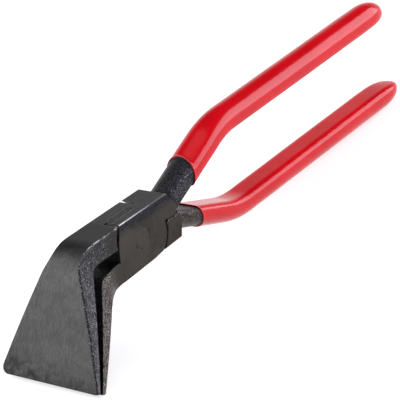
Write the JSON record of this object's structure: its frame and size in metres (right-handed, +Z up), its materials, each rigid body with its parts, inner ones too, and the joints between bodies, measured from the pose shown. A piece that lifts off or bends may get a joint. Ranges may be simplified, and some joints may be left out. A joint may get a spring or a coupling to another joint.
{
  "type": "hand seamer",
  "caption": "Hand seamer: seaming pliers with wide, bent, wedge-shaped jaws, a riveted lap joint and long handles with dipped plastic grips.",
  "frame": {"origin": "bottom centre of the bounding box, with the tool standing on its lower jaw edge and the end of its lower grip", "axes": "+Y runs back along the tool to the grips, jaws at -Y; +Z up; +X out of the side with the lower jaw lever's half of the lap joint, along the rivet"},
  "size_m": [0.0583, 0.2766, 0.0623],
  "materials": {
    "forged_steel": "black blued forging, satin where ground, rough on the sides",
    "rivet_steel": "ground flush and blued with the forging",
    "grip_plastic": "glossy dipped red plastic"
  },
  "bodies": {
    "upper_jaw": {"upper_jaw_lever": "forged_steel", "pivot_rivet": "rivet_steel", "lower_grip": "grip_plastic"},
    "lower_jaw": {"lower_jaw_lever": "forged_steel", "upper_grip": "grip_plastic"}
  },
  "joints": [
    {"name": "jaw_hinge", "type": "hinge", "parent": "upper_jaw", "child": "lower_jaw", "pos_m": [0, -0.06735, 0.03734], "axis": [1, 0, 0], "range_deg": [-0.9, 16]}
  ]
}
